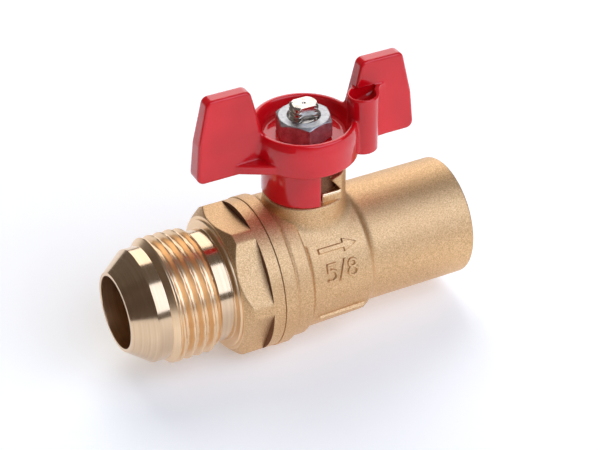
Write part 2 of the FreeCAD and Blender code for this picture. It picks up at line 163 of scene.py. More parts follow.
def blastedBrass(name, light, dark, warm, roughness, look=blastedLook):
    f = Finish(name)
    grain, cloud, pits = (f.noise(*look[key]) for key in ("grain", "cloud", "pits"))
    tone = f.blend(f.span(grain, *look["grainSpan"]), dark, light)
    tone = f.blend(f.span(cloud, *look["cloudSpan"]), tone, warm)
    rough = roughness + look["pitRough"] * (pits - 0.5)
    height = grain * look["grainShare"] + pits * (1 - look["grainShare"])
    return f.finish(Base_Color=tone, Metallic=1.0, Roughness=rough, Normal=f.bump(height, look))


turnedLook = {
    "rings": (1.0, 4, 0.7), "around": 12, "stain": (220, 3, 0.6), "ringSpan": (0.3, 0.7, 0.0, 1.0),
    "stainSpan": (0.45, 0.75, 0.0, 0.3), "ringRough": 0.10, "stainRough": 0.06, "depth": 0.000012,
    "strength": 0.6,
}


def turnedBrass(name, light, dark, roughness, ring, look=turnedLook):
    # fine rings left by the lathe, which run round the flow axis
    f = Finish(name)
    rings = f.noise(*look["rings"], (ring, look["around"], look["around"]))
    stain = f.noise(*look["stain"])
    tone = f.blend(f.span(rings, *look["ringSpan"]), dark, light)
    tone = f.blend(f.span(stain, *look["stainSpan"]), tone, dark)
    rough = roughness + look["ringRough"] * (rings - 0.5) + look["stainRough"] * (stain - 0.5)
    return f.finish(Base_Color=tone, Metallic=1.0, Roughness=rough, Normal=f.bump(rings, look))


redLook = {
    "red": rgb(226, 10, 26), "deep": rgb(204, 6, 20), "cloud": (90, 2, 0.5), "peel": (420, 2, 0.45),
    "dust": (3000, 2, 0.5), "cloudSpan": (0.35, 0.65, 0.0, 1.0), "rough": 0.30, "dustRough": 0.10,
    "cloudRough": 0.05, "depth": 0.00003, "strength": 0.35, "coatRough": 0.07, "specular": 0.1,
}


def redEnamel(look=redLook):
    f = Finish("red enamel")
    cloud, peel, dust = (f.noise(*look[key]) for key in ("cloud", "peel", "dust"))
    tone = f.blend(f.span(cloud, *look["cloudSpan"]), look["red"], look["deep"])
    rough = look["rough"] + look["dustRough"] * (dust - 0.5) + look["cloudRough"] * (cloud - 0.5)
    return f.finish(Base_Color=tone, Roughness=rough, Normal=f.bump(peel, look), Coat_Weight=1.0,
                    Coat_Roughness=look["coatRough"], Specular_IOR_Level=look["specular"])


zincLook = {
    "mottle": (900, 4, 0.7), "scratch": (1.0, 3, 0.6, (5200, 700, 2400)),
    "mottleSpan": (0.35, 0.65, 0.0, 1.0), "dull": rgb(176, 176, 178), "bright": rgb(214, 214, 214),
    "rough": 0.46, "mottleRough": 0.2, "scratchRough": 0.1,
    "scratchShare": 0.5, "depth": 0.00002, "strength": 0.5,
}


def zincPlate(look=zincLook):
    f = Finish("zinc plate")
    mottle, scratch = f.noise(*look["mottle"]), f.noise(*look["scratch"])
    tone = f.blend(f.span(mottle, *look["mottleSpan"]), look["dull"], look["bright"])
    rough = look["rough"] + look["mottleRough"] * (mottle - 0.5) + look["scratchRough"] * (scratch - 0.5)
    height = mottle + scratch * look["scratchShare"]
    return f.finish(Base_Color=tone, Metallic=1.0, Roughness=rough, Normal=f.bump(height, look))


nickelLook = {
    "rings": (1.0, 3, 0.6, (300, 300, 5200)), "wear": (800, 3, 0.6), "wearSpan": (0.4, 0.7, 0.0, 1.0),
    "bright": rgb(222, 214, 204), "worn": rgb(186, 176, 162), "rough": 0.15, "wearRough": 0.12,
    "depth": 0.00001, "strength": 0.4,
}


def nickelPlate(look=nickelLook):
    f = Finish("nickel plate")
    rings, wear = f.noise(*look["rings"]), f.noise(*look["wear"])
    tone = f.blend(f.span(wear, *look["wearSpan"]), look["bright"], look["worn"])
    rough = look["rough"] + look["wearRough"] * (wear - 0.5)
    return f.finish(Base_Color=tone, Metallic=1.0, Roughness=rough, Normal=f.bump(rings, look))


chromeLook = {
    "haze": (500, 3, 0.6), "dull": rgb(205, 207, 210), "bright": rgb(225, 226, 228), "rough": 0.05,
    "hazeRough": 0.06, "depth": 0.000004, "strength": 0.3,
}


def chromePlate(look=chromeLook):
    f = Finish("chromed ball")
    haze = f.noise(*look["haze"])
    return f.finish(Base_Color=f.blend(haze, look["dull"], look["bright"]), Metallic=1.0,
                    Roughness=look["rough"] + look["hazeRough"] * haze, Normal=f.bump(haze, look))


ringLook = {"detail": 3, "noiseRough": 0.6, "spread": 0.1, "depth": 0.00001, "strength": 0.4}


def plainRing(name, tone, shade, roughness, scale, look=ringLook):
    f = Finish(name)
    grain = f.noise(scale, look["detail"], look["noiseRough"])
    rough = roughness + look["spread"] * (grain - 0.5)
    return f.finish(Base_Color=f.blend(grain, tone, shade), Roughness=rough, Normal=f.bump(grain, look))


brass = blastedBrass("blasted brass", rgb(244, 208, 161), rgb(200, 156, 108), rgb(220, 174, 127), 0.46)
# a darker brass, painted shade for the gland under the handle and the step behind the hexagon's flats
paintedShade = blastedBrass("oiled brass", rgb(150, 106, 78), rgb(104, 68, 50), rgb(92, 62, 48), 0.5)
turned = turnedBrass("turned brass", rgb(230, 203, 172), rgb(214, 182, 146), 0.15, 2600)
threadBrass = turnedBrass("thread brass", rgb(248, 218, 182), rgb(238, 202, 158), 0.3, 5200)
drilled = turnedBrass("drilled brass", rgb(242, 208, 168), rgb(214, 174, 132), 0.34, 1400)
# machined brass for the stop's low block, partly real finish and partly lightened as a painted highlight on
# its edges
milledWithHighlight = turnedBrass("milled brass", rgb(252, 226, 190), rgb(238, 206, 166), 0.26, 900)
red = redEnamel()
zinc = zincPlate()
nickel = nickelPlate()
cadFinishes = {
    "ball": chromePlate(),
    "seat_ring_inlet": plainRing("seat ptfe", rgb(236, 236, 230), rgb(222, 222, 214), 0.5, 900),
    "stem_o_ring_lower": plainRing("ring rubber", rgb(24, 24, 26), rgb(38, 38, 40), 0.6, 1500),
}
cadFinishes["seat_ring_outlet"] = cadFinishes["stem_thrust_washer"] = cadFinishes["seat_ring_inlet"]
cadFinishes["stem_o_ring_upper"] = cadFinishes["stem_o_ring_lower"]
for node, finish in cadFinishes.items():
    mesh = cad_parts[node].data
    mesh.materials.clear()
    mesh.materials.append(finish)
print("finishes made")


def drilledThrough(piece, hole):
    # an upright hole on the stem's axis: radius, low and high
    radius, low, high = hole
    sides = 64
    ends = [(low, onAxis), (low, radius), (high, radius), (high, onAxis)]
    points, faces = ringSkin(ends, turnsOf(sides), around="z")
    mesh = bpy.data.meshes.new("drill")
    # the last row of faces would close the loop of rings along the axis
    mesh.from_pydata((points * mm + (stemX, 0, 0)).tolist(), [], faces[:3 * sides, ::-1].tolist())
    mended(mesh, clean)
    drill = bpy.data.objects.new("drill", mesh)
    bpy.context.scene.collection.objects.link(drill)
    mended(mesh, turnOutwards)
    modifier = piece.modifiers.new("hole", "BOOLEAN")
    modifier.object, modifier.operation, modifier.solver = drill, "DIFFERENCE", "EXACT"
    graph = bpy.context.evaluated_depsgraph_get()
    holed = bpy.data.meshes.new_from_object(piece.evaluated_get(graph), depsgraph=graph)
    piece.modifiers.clear()
    piece.data = holed
    bpy.data.objects.remove(drill)


def addPiece(name, points, faces, body, finishes, nodes, sharp=40, zone=None, hole=None):
    # points are in mm about the stem's axis
    mesh = bpy.data.meshes.new(name)
    points = np.asarray(points, dtype=float)
    loop = points[faces]
    volume = sum(np.einsum("ij,ij->i", loop[:, 0], np.cross(loop[:, k], loop[:, k + 1])).sum()
                 for k in range(1, faces.shape[1] - 1))
    if volume < 0:
        faces = faces[:, ::-1]
    mesh.from_pydata((points * mm + (stemX, 0, 0)).tolist(), [], faces.tolist())
    for finish in finishes:
        mesh.materials.append(finish)
    piece = bpy.data.objects.new(name, mesh)
    bpy.context.scene.collection.objects.link(piece)
    mended(mesh, clean)
    if zone:
        middles = np.array([(p.center.x, p.center.y, p.center.z) for p in mesh.polygons])
        slots = zone((middles - (stemX, 0, 0)) / mm)
        mesh.polygons.foreach_set("material_index", slots.astype(int))
    if hole:
        drilledThrough(piece, hole)
    return dress(piece, body, nodes, sharp)


def mended(mesh, mend):
    # doubled points become one, then mend does the rest
    work = bmesh.new()
    work.from_mesh(mesh)
    bmesh.ops.remove_doubles(work, verts=work.verts, dist=1e-7)
    mend(work)
    work.to_mesh(mesh)
    work.free()


def clean(work):
    bmesh.ops.dissolve_degenerate(work, edges=work.edges, dist=1e-8)


def turnOutwards(work):
    bmesh.ops.recalc_face_normals(work, faces=work.faces)
    if work.calc_volume(signed=True) < 0:
        bmesh.ops.reverse_faces(work, faces=work.faces)


def dress(piece, body, nodes, sharp):
    piece.data.shade_smooth()
    piece.data.set_sharp_from_angle(angle=radians(sharp))
    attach(piece, body)
    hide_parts(*nodes)
    return piece


def soften(corners, steps=4):
    # a closed outline whose corners (along, radius, bend) get a small round; a row on each side of it,
    # a bit beyond, keeps the flats evenly shaded
    beyond, most = 1.08, 0.45
    outline = []
    for i, (along, radius, bend) in enumerate(corners):
        corner = np.array((along, radius), dtype=float)
        before = np.array(corners[i - 1][:2], dtype=float) - corner
        after = np.array(corners[(i + 1) % len(corners)][:2], dtype=float) - corner
        reach = min(bend, most * np.hypot(*before), most * np.hypot(*after))
        if reach < 1e-6:
            outline.append(tuple(corner))
            continue
        start, end = before / np.hypot(*before) * reach, after / np.hypot(*after) * reach
        outline.append(tuple(corner + start * beyond))
        for k in range(steps + 1):
            t = k / steps
            outline.append(tuple(corner + (1 - t) ** 2 * start + t ** 2 * end))
        outline.append(tuple(corner + end * beyond))
    return outline


def divide(outline, low, high, step):
    # more rows between two places along the axis
    result = []
    for i, here in enumerate(outline):
        there = outline[(i + 1) % len(outline)]
        result.append(here)
        if min(here[0], there[0]) >= low - 1e-6 and max(here[0], there[0]) <= high + 1e-6:
            length = sqrt((here[0] - there[0]) ** 2 + (here[1] - there[1]) ** 2)
            count = int(length / step)
            result += [tuple(a + (b - a) * k / count for a, b in zip(here, there)) for k in range(1, count)]
    return result


def ringSkin(outline, angles, shape=None, around="x"):
    # every point of a closed outline becomes a ring, whose radius shape may change
    along = np.array([p[0] for p in outline])[:, None] + 0 * angles[None, :]
    radius = np.array([p[1] for p in outline])[:, None] + 0 * angles[None, :]
    if shape:
        radius = shape(along, radius, angles[None, :] + 0 * radius)
    if around == "x":
        points = np.stack([along, -radius * np.cos(angles), radius * np.sin(angles)], axis=2)
    else:
        points = np.stack([radius * np.cos(angles), radius * np.sin(angles), along], axis=2)
    n, m = radius.shape
    i, j = np.meshgrid(np.arange(n), np.arange(m), indexing="ij")
    k, l = (i + 1) % n, (j + 1) % m
    faces = np.stack([i * m + j, i * m + l, k * m + l, k * m + j], axis=2).reshape(-1, 4)
    return points.reshape(-1, 3), faces


def eased(share):
    # 0 to 1 with level ends
    return share * share * (3 - 2 * share)


def softMin(a, b, k):
    h = np.clip(0.5 + 0.5 * (b - a) / k, 0, 1)
    return b + (a - b) * h - k * h * (1 - h)


def softMax(a, b, k):
    return -softMin(-a, -b, k)


def hexagon(angles, flats, corner):
    # radius of a hexagon one of whose corners lies at the angle corner
    turn = np.mod(angles - corner, pi / 3) - pi / 6
    return flats / 2 / np.cos(turn)


def turnsOf(count, start=0.0):
    return start + np.arange(count) * 2 * pi / count


def fieldSkin(field, low, high, step):
    # a solid given by a distance field, skinned on a grid and drawn onto the field's zero
    axes = [np.arange(a, b + step, step) for a, b in zip(low, high)]
    value = field(*np.meshgrid(*axes, indexing="ij"))
    inside = value < 0
    corner = [slice(None, -1), slice(1, None)]
    count = sum(inside[corner[a], corner[b], corner[c]].astype(np.int8)
                for a in (0, 1) for b in (0, 1) for c in (0, 1))
    cells = np.argwhere((count > 0) & (count < 8))
    number = np.full(count.shape, -1, dtype=np.int64)
    number[tuple(cells.T)] = np.arange(len(cells))
    total, hits = np.zeros((len(cells), 3)), np.zeros((len(cells), 1))
    for axis in range(3):
        for shift in range(4):
            offset = np.zeros(3, dtype=int)
            offset[(axis + 1) % 3], offset[(axis + 2) % 3] = shift & 1, shift >> 1
            start = cells + offset
            end = start.copy()
            end[:, axis] += 1
            a, b = value[tuple(start.T)], value[tuple(end.T)]
            crossed = ((a < 0) != (b < 0))[:, None]
            share = np.where(crossed[:, 0], a / np.where(a == b, 1, a - b), 0)[:, None]
            total += crossed * (start + share * (np.arange(3) == axis))
            hits += crossed
    points = total / hits * step + np.array([a[0] for a in axes])
    faces = []
    for axis in range(3):
        u, v = (axis + 1) % 3, (axis + 2) % 3
        first = [slice(None)] * 3
        second = [slice(None)] * 3
        first[axis], second[axis] = slice(None, -1), slice(1, None)
        changed = np.argwhere(inside[tuple(first)] != inside[tuple(second)])
        changed = changed[(changed[:, u] > 0) & (changed[:, v] > 0)]
        starts = inside[tuple(changed.T)]
        around = []
        for du, dv in ((-1, -1), (0, -1), (0, 0), (-1, 0)):
            cell = changed.copy()
            cell[:, u] += du
            cell[:, v] += dv
            around.append(number[tuple(cell.T)])
        quads = np.stack(around, axis=1)
        quads[~starts] = quads[~starts][:, ::-1]
        faces.append(quads)
    probe, leastSlope, most = 0.01, 0.05, 0.4 * step
    for _ in range(4):
        place = [points[:, k] for k in range(3)]
        value = field(*place)
        slope = np.stack([(field(*[p + probe * (k == axis) for k, p in enumerate(place)])
                           - field(*[p - probe * (k == axis) for k, p in enumerate(place)])) / (2 * probe)
                          for axis in range(3)], axis=1)
        move = -slope * (value / np.maximum((slope ** 2).sum(axis=1), leastSlope))[:, None]
        length = np.sqrt((move ** 2).sum(axis=1))[:, None]
        points = points + move * np.minimum(1, most / np.maximum(length, 1e-9))
    return points, np.concatenate(faces)


def slab(value, low, high):
    # distance to the stretch from low to high
    return np.maximum(low - value, value - high)


def outlineField(x, y, corners):
    # signed distance to a polygon
    best, sign = np.full(np.broadcast(x, y).shape, 1e9), np.ones(np.broadcast(x, y).shape)
    for i, (ax, ay) in enumerate(corners):
        bx, by = corners[i - 1]
        ex, ey, wx, wy = bx - ax, by - ay, x - ax, y - ay
        t = np.clip((wx * ex + wy * ey) / (ex * ex + ey * ey), 0, 1)
        best = np.minimum(best, (wx - ex * t) ** 2 + (wy - ey * t) ** 2)
        above, below, left = y >= ay, y < by, ex * wy > ey * wx
        sign = np.where((above & below & left) | (~above & ~below & ~left), -sign, sign)
    return sign * np.sqrt(best)


def rounded(across, along, bend):
    # two distances joined in a round edge
    a, b = across + bend, along + bend
    return np.hypot(np.maximum(a, 0), np.maximum(b, 0)) + np.minimum(np.maximum(a, b), 0) - bend


threadInputs = {
    "Float": ("Start", "Length", "Crest Radius", "Root Radius", "Core Radius", "Pitch", "Turn", "Lead Radius",
              "Tail Radius", "Half Flats", "Flats Start", "Full Start", "Fade Length"),
    "Int": ("Rows", "Sides"), "Vector": ("Axis", "Across", "Up", "Centre"), "Material": ("Material",),
}
threadCounts = ("Turn", "Rows", "Sides", "Axis", "Across", "Up")      # the inputs that aren't lengths


def threadTree():
    tree = bpy.data.node_groups.new("threaded sleeve", "GeometryNodeTree")
    tree.interface.new_socket("Geometry", in_out="OUTPUT", socket_type="NodeSocketGeometry")
    for kind, names in threadInputs.items():
        for name in names:
            tree.interface.new_socket(name, in_out="INPUT", socket_type="NodeSocket" + kind)
    source = tree.nodes.new("NodeGroupInput")
    given = {socket.name: Wire(tree, socket) for socket in source.outputs if socket.name}

    def node(kind, inputs={}, output=0, **settings):
        return addNode(tree, kind, settings, inputs, output)

    def within(value, low, high):
        return maths("MINIMUM", maths("MAXIMUM", value, low), high)

    rows, sides = given["Rows"], given["Sides"]
    grid = node("GeometryNodeMeshGrid", {"Size X": 1.0, "Size Y": 1.0, "Vertices X": rows + 3,
                                         "Vertices Y": sides + 1})
    spot = node("GeometryNodeInputPosition")
    gridX, gridY = (node("ShaderNodeSeparateXYZ", {0: spot}, k) for k in (0, 1))
    # row 0 and the last two lie on the core, the others are the thread
    row = maths("ROUND", (gridX + 0.5) * (rows + 2))
    last = maths("GREATER_THAN", row, rows + 1.5)
    core = maths("MAXIMUM", maths("LESS_THAN", row, 0.5), maths("GREATER_THAN", row, rows + 0.5))
    way = within((row - 1) / (rows - 1), 0.0, 1.0) * (1 - last) * given["Length"]
    along = given["Start"] + way
    turn = gridY + 0.5
    angle = turn * (2 * pi)
    cosine, sine = maths("COSINE", angle), maths("SINE", angle)
    # of the pitch, a quarter is flat in the root and an eighth on the crest
    rootFlat, crestFlat = 0.25, 0.125
    phase = along / given["Pitch"] - turn + given["Turn"]
    wave = 1 - maths("ABSOLUTE", maths("FRACT", phase) * 2 - 1)
    rise = within((wave - rootFlat) / (1 - rootFlat - crestFlat), 0.0, 1.0)
    fade = within((way - given["Full Start"]) / given["Fade Length"], 0.0, 1.0)
    rise = 1 - (1 - rise) * fade
    radius = given["Root Radius"] + (given["Crest Radius"] - given["Root Radius"]) * rise
    radius = maths("MINIMUM", radius, given["Lead Radius"] + way)
    radius = maths("MINIMUM", radius, given["Tail Radius"] + (given["Length"] - way))
    flat = given["Half Flats"] / maths("MAXIMUM", maths("ABSOLUTE", sine), 0.001)
    flat = flat + maths("LESS_THAN", way, given["Flats Start"])
    radius = maths("MINIMUM", radius, flat)
    radius = radius + core * (given["Core Radius"] - radius)
    place = given["Centre"]
    for direction, size in (("Axis", along), ("Across", radius * cosine), ("Up", radius * sine)):
        step = node("ShaderNodeVectorMath", {0: given[direction], "Scale": size}, operation="SCALE")
        place = node("ShaderNodeVectorMath", {0: place, 1: step}, operation="ADD")
    moved = node("GeometryNodeSetPosition", {"Geometry": grid, "Position": place})
    joined = node("GeometryNodeMergeByDistance", {"Geometry": moved, "Distance": 1e-7})
    real = node("GeometryNodeRealizeInstances", {"Geometry": joined})
    painted = node("GeometryNodeSetMaterial", {"Geometry": real, "Material": given["Material"]})
    node("NodeGroupOutput", {0: painted})
    return tree


threads = threadTree()


def addThread(name, sizes, body, finish, node):
    # sizes are the tree's named inputs, lengths in mm
    base = bpy.data.objects.new(name + " base", bpy.data.meshes.new(name + " base"))
    bpy.context.scene.collection.objects.link(base)
    modifier = base.modifiers.new("thread", "NODES")
    modifier.node_group = threads
    values = {key: value if key in threadCounts else value * mm for key, value in sizes.items()}
    values.update({"Centre": (stemX, 0.0, 0.0), "Material": finish})
    for item in threads.interface.items_tree:
        if item.in_out == "INPUT":
            modifier[item.identifier] = values[item.name]
    graph = bpy.context.evaluated_depsgraph_get()
    mesh = bpy.data.meshes.new_from_object(base.evaluated_get(graph), depsgraph=graph)
    bpy.data.objects.remove(base)
    mesh.name = name
    piece = bpy.data.objects.new(name, mesh)
    bpy.context.scene.collection.objects.link(piece)
    mended(mesh, turnOutwards)
    return dress(piece, body, (node,), 50)


def inset(corners, by):
    # a convex outline moved inwards, so that a round of that size brings it back
    corners = [np.array(c, dtype=float) for c in corners]
    middle = sum(corners) / len(corners)
    lines = []
    for a, b in zip(corners, corners[1:] + corners[:1]):
        normal = np.array((b[1] - a[1], a[0] - b[0])) / np.hypot(*(b - a))
        if normal @ (middle - a) < 0:
            normal = -normal
        lines.append((normal, normal @ a + by))
    return [tuple(np.linalg.solve(np.array((n1, n2)), np.array((d1, d2))))
            for (n1, d1), (n2, d2) in zip(lines[-1:] + lines[:-1], lines)]


# what both halves of the body share inside: radii, and places along the flow from the stem's axis
ballClear, seatRadius = 10.2, 9.0
seatBack, shoulder = 8.6, 5.4
seatFront = (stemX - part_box("seat_ring_inlet")[1][0]) / mm

# inlet half: nose, core under the thread, relief, collar and hexagon
connectorLook = {
    "noseEnd": -35.9, "rim": 0.6, "bore": 6.42, "noseRadius": 10.0, "coneTan": tan(radians(37)),
    "threadStart": -29.65, "threadEnd": -20.6, "coreRadius": 9.75, "relief": 9.9,
    "collarStart": -17.95, "collar": 11.3, "hexFront": -17.5, "hexBack": -12.46, "flats": 24.0,
    "corner": radians(5), "land": 13.3, "hexChamfer": 1.4, "joint": -10.25, "spigot": 10.87,
    "lean": 0.1, "chamferStep": 0.12, "soft": 0.12, "hexFrom": 11.5, "blastedFrom": 11.95,
}
look = connectorLook
coneEnd = look["noseEnd"] + (look["noseRadius"] - look["bore"] - look["rim"]) / look["coneTan"]
outline = soften([
    (look["noseEnd"], look["bore"] + look["rim"], 0.06),
    (coneEnd, look["noseRadius"], 0.1),
    (look["threadStart"], look["noseRadius"], 0.0),
    (look["threadStart"], look["coreRadius"], 0.0),
    (look["threadEnd"] - look["lean"], look["coreRadius"], 0.0),
    (look["threadEnd"], look["relief"], 0.1),
    (look["collarStart"], look["relief"], 0.2),
    (look["collarStart"] + look["lean"], look["collar"], 0.12),
    (look["hexFront"], look["collar"] + look["lean"], 0.0),
    (look["hexFront"], look["land"] - look["hexChamfer"], 0.12),
    (look["hexFront"] + look["hexChamfer"], look["land"], 0.1),
    (look["joint"], look["land"], 0.08),
    (look["joint"], look["spigot"], 0.0),
    (-shoulder, look["spigot"], 0.1),
    (-shoulder, seatRadius, 0.0),
    (-seatBack, seatRadius, 0.0),
    (-seatBack, look["bore"], 0.0),
    (look["noseEnd"], look["bore"], 0.12),
])
outline = divide(outline, look["hexFront"], look["hexFront"] + look["hexChamfer"], look["chamferStep"])
# a pair of rows behind the flats, where the hexagon ends in a step
onLand = [i for i, (along, radius) in enumerate(outline)
          if along < look["joint"] - 0.2 and abs(radius - look["land"]) < 1e-6]
after = onLand[-1] + 1
outline[after:after] = [(look["hexBack"] - 0.001, look["land"]), (look["hexBack"], look["land"])]


def hexShape(along, radius, angles, look=connectorLook):
    cut = softMin(radius, hexagon(angles, look["flats"], look["corner"]), look["soft"])
    onHex = (along > look["hexFront"] - 0.01) & (along < look["hexBack"] - 0.0005)
    return np.where(onHex & (radius > look["hexFrom"]), cut, radius)


def connectorZone(middles, look=connectorLook):
    # 0 turned, 1 blasted, 2 bore, 3 step behind the flats, in the darker brass of painted shade, 4 front of
    # the collar and the hexagon
    along, radius = middles[:, 0], np.hypot(middles[:, 1], middles[:, 2])
    inside = (radius < look["bore"] + 0.05) & (along > look["noseEnd"] + 0.15)
    blasted = (along > look["hexFront"] + 0.06) & (radius > look["blastedFrom"])
    step = (abs(along - look["hexBack"]) < 0.02) & (radius > look["blastedFrom"])
    front = (along > look["collarStart"] - 0.05) & (along < look["hexFront"] + 0.06)
    zone = np.where(inside, 2, np.where(blasted, 1, 0))
    return np.where(step, 3, np.where(front & ~inside, 4, zone))


points, faces = ringSkin(outline, turnsOf(288, look["corner"]), hexShape)
addPiece("inlet_fitting", points, faces, "valve_body", (turned, brass, drilled, paintedShade, threadBrass),
         ("flare_connector",), zone=connectorZone, sharp=30)
addThread("inlet_thread", {
    "Start": look["threadStart"], "Length": look["threadEnd"] - look["threadStart"],
    "Crest Radius": 11.1, "Root Radius": 10.0, "Core Radius": look["coreRadius"], "Pitch": 1.814,
    "Turn": 0.89168, "Lead Radius": 10.0, "Tail Radius": 10.0, "Half Flats": 1000.0,
    "Flats Start": 0.0, "Full Start": 0.95, "Fade Length": 0.5, "Rows": 110, "Sides": 216,
    "Axis": (1.0, 0.0, 0.0), "Across": (0.0, -1.0, 0.0), "Up": (0.0, 0.0, -1.0),
}, "valve_body", threadBrass, "flare_connector")
print("inlet half made")

# body: flange, band, barrel and outlet tube round the flow axis
bodyLook = {
    "joint": -10.2, "flange": 13.45, "flangeEnd": -7.75, "band": 12.85, "bandStart": -7.15, "bandEnd": -4.55,
    "groove": 11.9, "barrel": 12.1, "barrelStart": -3.9, "barrelEnd": 7.35, "taper": 0.25,
    "tube": 10.75, "tubeStart": 8.9, "mouth": 28.6, "socket": 7.97, "socketFloor": 15.9, "passage": 6.2,
    "barTurn": -28.0, "barHalf": 2.5, "barFlank": 0.9, "barSoft": 0.4, "barStart": -2.8, "barEnd": 6.5,
    "barEdge": 0.35, "bar": 12.45, "blastedFrom": 11.5, "spigot": 10.9, "seatGap": 0.3, "spigotGap": 0.2,
    "barrelStep": 0.4, "markStep": 0.09, "marks": (-2.9, 6.6),
    "turns": ((0, 360, 2.0), (326, 338, 0.25), (8, 46, 0.3)), "hole": (5.28, 6.0, 14.0),
}
look = bodyLook
outline = soften([
    (look["joint"], look["flange"], 0.12),
    (look["flangeEnd"], look["flange"], 0.3),
    ((look["flangeEnd"] + look["bandStart"]) / 2, look["groove"] + 0.75, 0.25),
    (look["bandStart"] + 0.15, look["band"], 0.35),
    (look["bandEnd"], look["band"], 0.4),
    ((look["bandEnd"] + look["barrelStart"]) / 2, look["groove"] - 0.15, 0.2),
    (look["barrelStart"] + 0.1, look["barrel"], 0.3),
    (look["barrelEnd"], look["barrel"] - look["taper"], 0.5),
    (look["barrelEnd"] + 0.75, look["tube"] + 0.3, 0.3),
    (look["tubeStart"], look["tube"], 0.4),
    (look["mouth"], look["tube"], 0.4),
    (look["mouth"], look["socket"], 0.25),
    (look["socketFloor"], look["socket"], 0.1),
    (look["socketFloor"], look["passage"], 0.2),
    (seatBack, look["passage"], 0.0),
    (seatBack, seatRadius, 0.0),
    (seatFront - look["seatGap"], seatRadius, 0.0),
    (seatFront - look["seatGap"], ballClear, 0.0),
    (-shoulder + look["spigotGap"], ballClear, 0.0),
    (-shoulder + look["spigotGap"], look["spigot"], 0.0),
    (look["joint"], look["spigot"], 0.0),
])
outline = divide(outline, look["barrelStart"], look["barrelEnd"], look["barrelStep"])
outline = divide(outline, *look["marks"], look["markStep"])

# plain raised marks: an arrow along the flow and the tube size
markLook = {
    "arrowTurn": 38.0,
    "arrow": [(-2.2, -0.42), (2.6, -0.42), (2.6, -1.15), (5.2, 0.0), (2.6, 1.15), (2.6, 0.42), (-2.2, 0.42)],
    "sizeTurn": 11.0, "sizeStart": -1.3, "stroke": 0.25, "relief": 0.34, "flank": 0.14,
    "strokes": [[(1.6, 3.0), (0.25, 3.0), (0.15, 1.75), (0.9, 1.95), (1.5, 1.65), (1.7, 1.0), (1.45, 0.35),
                 (0.85, 0.0), (0.1, 0.2)], [(2.35, -0.2), (3.55, 3.2)]],
    "loops": [(4.9, 2.27, 0.66), (4.9, 0.8, 0.8)],
}


def markField(along, turn, look=markLook):
    arc = radians(1) * bodyLook["barrel"]
    best = outlineField(along, (turn - look["arrowTurn"]) * arc, look["arrow"])
    u, v = along - look["sizeStart"], (turn - look["sizeTurn"]) * arc
    for line in look["strokes"]:
        for (ax, ay), (bx, by) in zip(line, line[1:]):
            ex, ey = bx - ax, by - ay
            t = np.clip(((u - ax) * ex + (v - ay) * ey) / (ex ** 2 + ey ** 2), 0, 1)
            best = np.minimum(best, np.hypot(u - ax - t * ex, v - ay - t * ey) - look["stroke"])
    for cu, cv, size in look["loops"]:
        best = np.minimum(best, abs(np.hypot(u - cu, v - cv) - size) - look["stroke"])
    return look["relief"] * eased(np.clip(0.5 - best / look["flank"], 0, 1))


def barShape(along, radius, angles, look=bodyLook):
    # the raised bar and the marks on the barrel
    turn = (np.degrees(angles) - look["barTurn"] + 180) % 360 - 180
    across = np.clip((look["barHalf"] + look["barSoft"] - abs(turn)) / look["barFlank"], 0, 1)
    ends = (np.clip((along - look["barStart"]) / look["barEdge"], 0, 1)
            * np.clip((look["barEnd"] - along) / look["barEdge"], 0, 1))
    lift = eased(across) * ends * (2 - ends)
    outer = (radius > look["blastedFrom"]) & (along > look["barStart"] - 1) & (along < look["barEnd"] + 1)
    marked = radius + markField(along, (np.degrees(angles) + 180) % 360 - 180)
    return np.where(outer, np.maximum(marked, radius + (look["bar"] - radius) * lift), radius)


def bodyZone(middles, look=bodyLook):
    radius = np.hypot(middles[:, 1], middles[:, 2])
    return np.where((radius < look["socket"] + 0.1) & (middles[:, 0] < look["mouth"] - 0.2), 1, 0)


angles = np.unique(np.round(np.concatenate([np.arange(*turns) for turns in look["turns"]]), 4))
points, faces = ringSkin(outline, np.radians(angles), barShape)
addPiece("valve_barrel", points, faces, "valve_body", (brass, drilled), ("body",), zone=bodyZone,
         hole=look["hole"])

# neck with the stop that the handle's skirt meets
neckLook = {
    "neck": 7.2, "neckTop": 14.6, "gland": 5.6, "glandTop": 20.6, "stopTop": 18.5, "stopSlope": 0.35,
    "lowTop": 16.15, "notch": [(-1.0, 16.2), (4.15, 16.1), (2.25, 18.5), (2.25, 22.3), (-1.0, 22.3)],
    "stopFace": 0.45, "stopEdge": 2.25, "lowFace": -5.95, "lowEnd": 4.1, "stemBore": 4.05, "packing": 5.3,
    "packingRoof": 12.0, "fillet": 1.6, "sink": 0.015, "footHalf": 7.2, "footRadius": 9.4,
    "footInside": 10.4, "footFloor": 7.5, "low": (-9.8, -9.8, 6.8), "high": (9.8, 9.8, 22.0), "step": 0.2,
}


def neckField(x, y, z, look=neckLook):
    r = np.hypot(x, y)
    neck = rounded(r - look["neck"], z - look["neckTop"], 0.35)
    gland = rounded(r - look["gland"], z - look["glandTop"], 0.3)
    stop = rounded(r - look["neck"], z - look["stopTop"] - look["stopSlope"] * (x - look["stopEdge"]), 0.3)
    stop = softMax(softMax(stop, look["stopFace"] - x, 0.35), y, 0.3)
    stop = softMax(stop, -outlineField(x, z, look["notch"]), 0.3)
    # the low block's face is milled flat
    flat = np.maximum(y - look["lowFace"], np.maximum(look["neckTop"] - z, x - look["lowEnd"]))
    stop = softMax(stop, -flat, 0.35)
    top = np.minimum(softMin(neck, gland, 0.3), stop)
    # the foot lies a little under the barrel's skin
    flow = np.hypot(y, z)
    slope = bodyLook["taper"] / (bodyLook["barrelEnd"] - bodyLook["barrelStart"])
    skin = bodyLook["barrel"] - look["sink"] - (x - bodyLook["barrelStart"]) * slope
    solid = softMin(top, np.maximum(flow - skin, abs(x) - look["footHalf"]), look["fillet"])
    limits = r - look["footRadius"], look["footInside"] - flow, look["footFloor"] - z, look["stemBore"] - r
    for limit in limits:
        solid = np.maximum(solid, limit)
    pocket = np.maximum(r - look["packing"], z - look["packingRoof"])
    return np.maximum(solid, -pocket)


